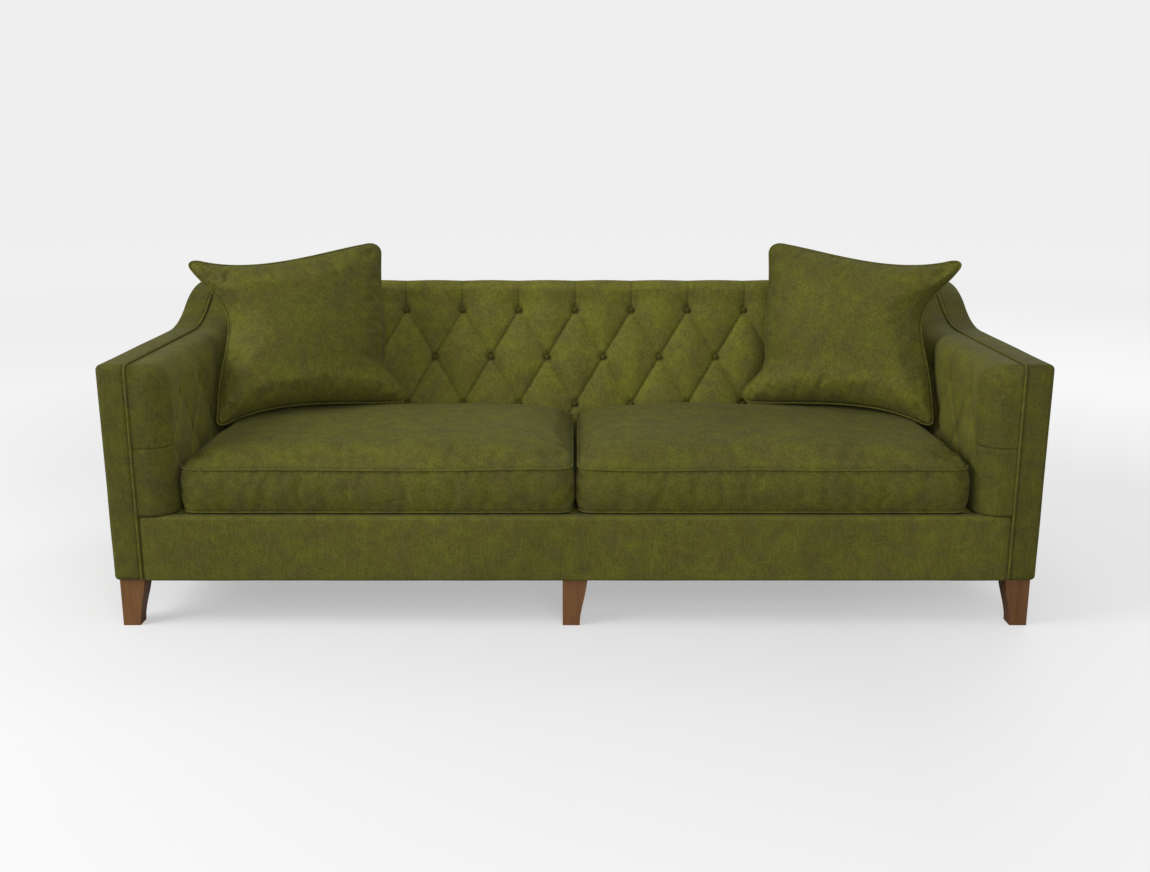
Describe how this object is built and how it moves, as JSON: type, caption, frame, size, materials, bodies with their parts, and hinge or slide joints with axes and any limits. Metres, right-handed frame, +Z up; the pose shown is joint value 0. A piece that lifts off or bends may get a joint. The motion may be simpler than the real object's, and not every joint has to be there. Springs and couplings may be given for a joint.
{
  "type": "four-seater sofa",
  "caption": "Deep-buttoned velvet sofa with high scooped arms, piped borders, loose seat cushions, leaning scatter cushions and tapered wooden legs.",
  "frame": {"origin": "on the floor, under the middle of the sofa", "axes": "+X to the right as seen from the front, -Y out of the front, +Z up"},
  "size_m": [2.4, 0.9415, 0.9278],
  "materials": {
    "velvet": "mottled olive green velvet pile with a soft sheen",
    "leg_wood": "mid brown stained hardwood, satin",
    "frame_wood": "raw planed beech",
    "steel": "bright drawn steel",
    "webbing": "woven elastic strap",
    "dust_cloth": "black non-woven cloth",
    "deck_felt": "felt deck under platform cloth of the same green",
    "filling": "foam and feather filling"
  },
  "bodies": {
    "sofa": {"back_buttons": "velvet", "back_piping": "velvet", "back_tack_rail": "frame_wood", "back_top_rail": "frame_wood", "back_webbing": "webbing", "centre_back_upright": "frame_wood", "centre_front_leg": "leg_wood", "centre_rear_leg": "leg_wood", "corner_blocks": "frame_wood", "dust_cover": "dust_cloth", "front_border": "velvet", "front_seat_rail": "frame_wood", "insert_nuts": "steel", "inside_back": "velvet", "left_arm_buttons": "velvet", "left_arm_piping": "velvet", "left_arm_rail": "frame_wood", "left_arm_webbing": "webbing", "left_back_upright": "frame_wood", "left_cross_rail": "frame_wood", "left_front_leg": "leg_wood", "left_front_post": "frame_wood", "left_inside_arm": "velvet", "left_outside_arm": "velvet", "left_rear_leg": "leg_wood", "left_rear_post": "frame_wood", "left_side_rail": "frame_wood", "leg_bolts": "steel", "outside_back": "velvet", "rear_seat_rail": "frame_wood", "right_arm_buttons": "velvet", "right_arm_piping": "velvet", "right_arm_rail": "frame_wood", "right_arm_webbing": "webbing", "right_back_upright": "frame_wood", "right_cross_rail": "frame_wood", "right_front_leg": "leg_wood", "right_front_post": "frame_wood", "right_inside_arm": "velvet", "right_outside_arm": "velvet", "right_rear_leg": "leg_wood", "right_rear_post": "frame_wood", "right_side_rail": "frame_wood", "seat_deck": "deck_felt", "seat_springs": "steel", "spring_clips": "steel"},
    "left_seat_cushion": {"left_seat_cushion_core": "filling", "left_seat_cushion_cover": "velvet", "left_seat_cushion_welt": "velvet"},
    "left_scatter_cushion": {"left_scatter_cushion_cover": "velvet", "left_scatter_cushion_pad": "filling", "left_scatter_cushion_piping": "velvet"},
    "right_seat_cushion": {"right_seat_cushion_core": "filling", "right_seat_cushion_cover": "velvet", "right_seat_cushion_welt": "velvet"},
    "right_scatter_cushion": {"right_scatter_cushion_cover": "velvet", "right_scatter_cushion_pad": "filling", "right_scatter_cushion_piping": "velvet"}
  },
  "joints": [
    {"name": "left_seat_lift", "type": "slide", "parent": "sofa", "child": "left_seat_cushion", "axis": [0, 0, 1], "range_m": [0, 0.55]},
    {"name": "left_scatter_lift", "type": "slide", "parent": "left_seat_cushion", "child": "left_scatter_cushion", "axis": [0, 0, 1], "range_m": [0, 0.45]},
    {"name": "right_seat_lift", "type": "slide", "parent": "sofa", "child": "right_seat_cushion", "axis": [0, 0, 1], "range_m": [0, 0.55]},
    {"name": "right_scatter_lift", "type": "slide", "parent": "right_seat_cushion", "child": "right_scatter_cushion", "axis": [0, 0, 1], "range_m": [0, 0.45]}
  ]
}
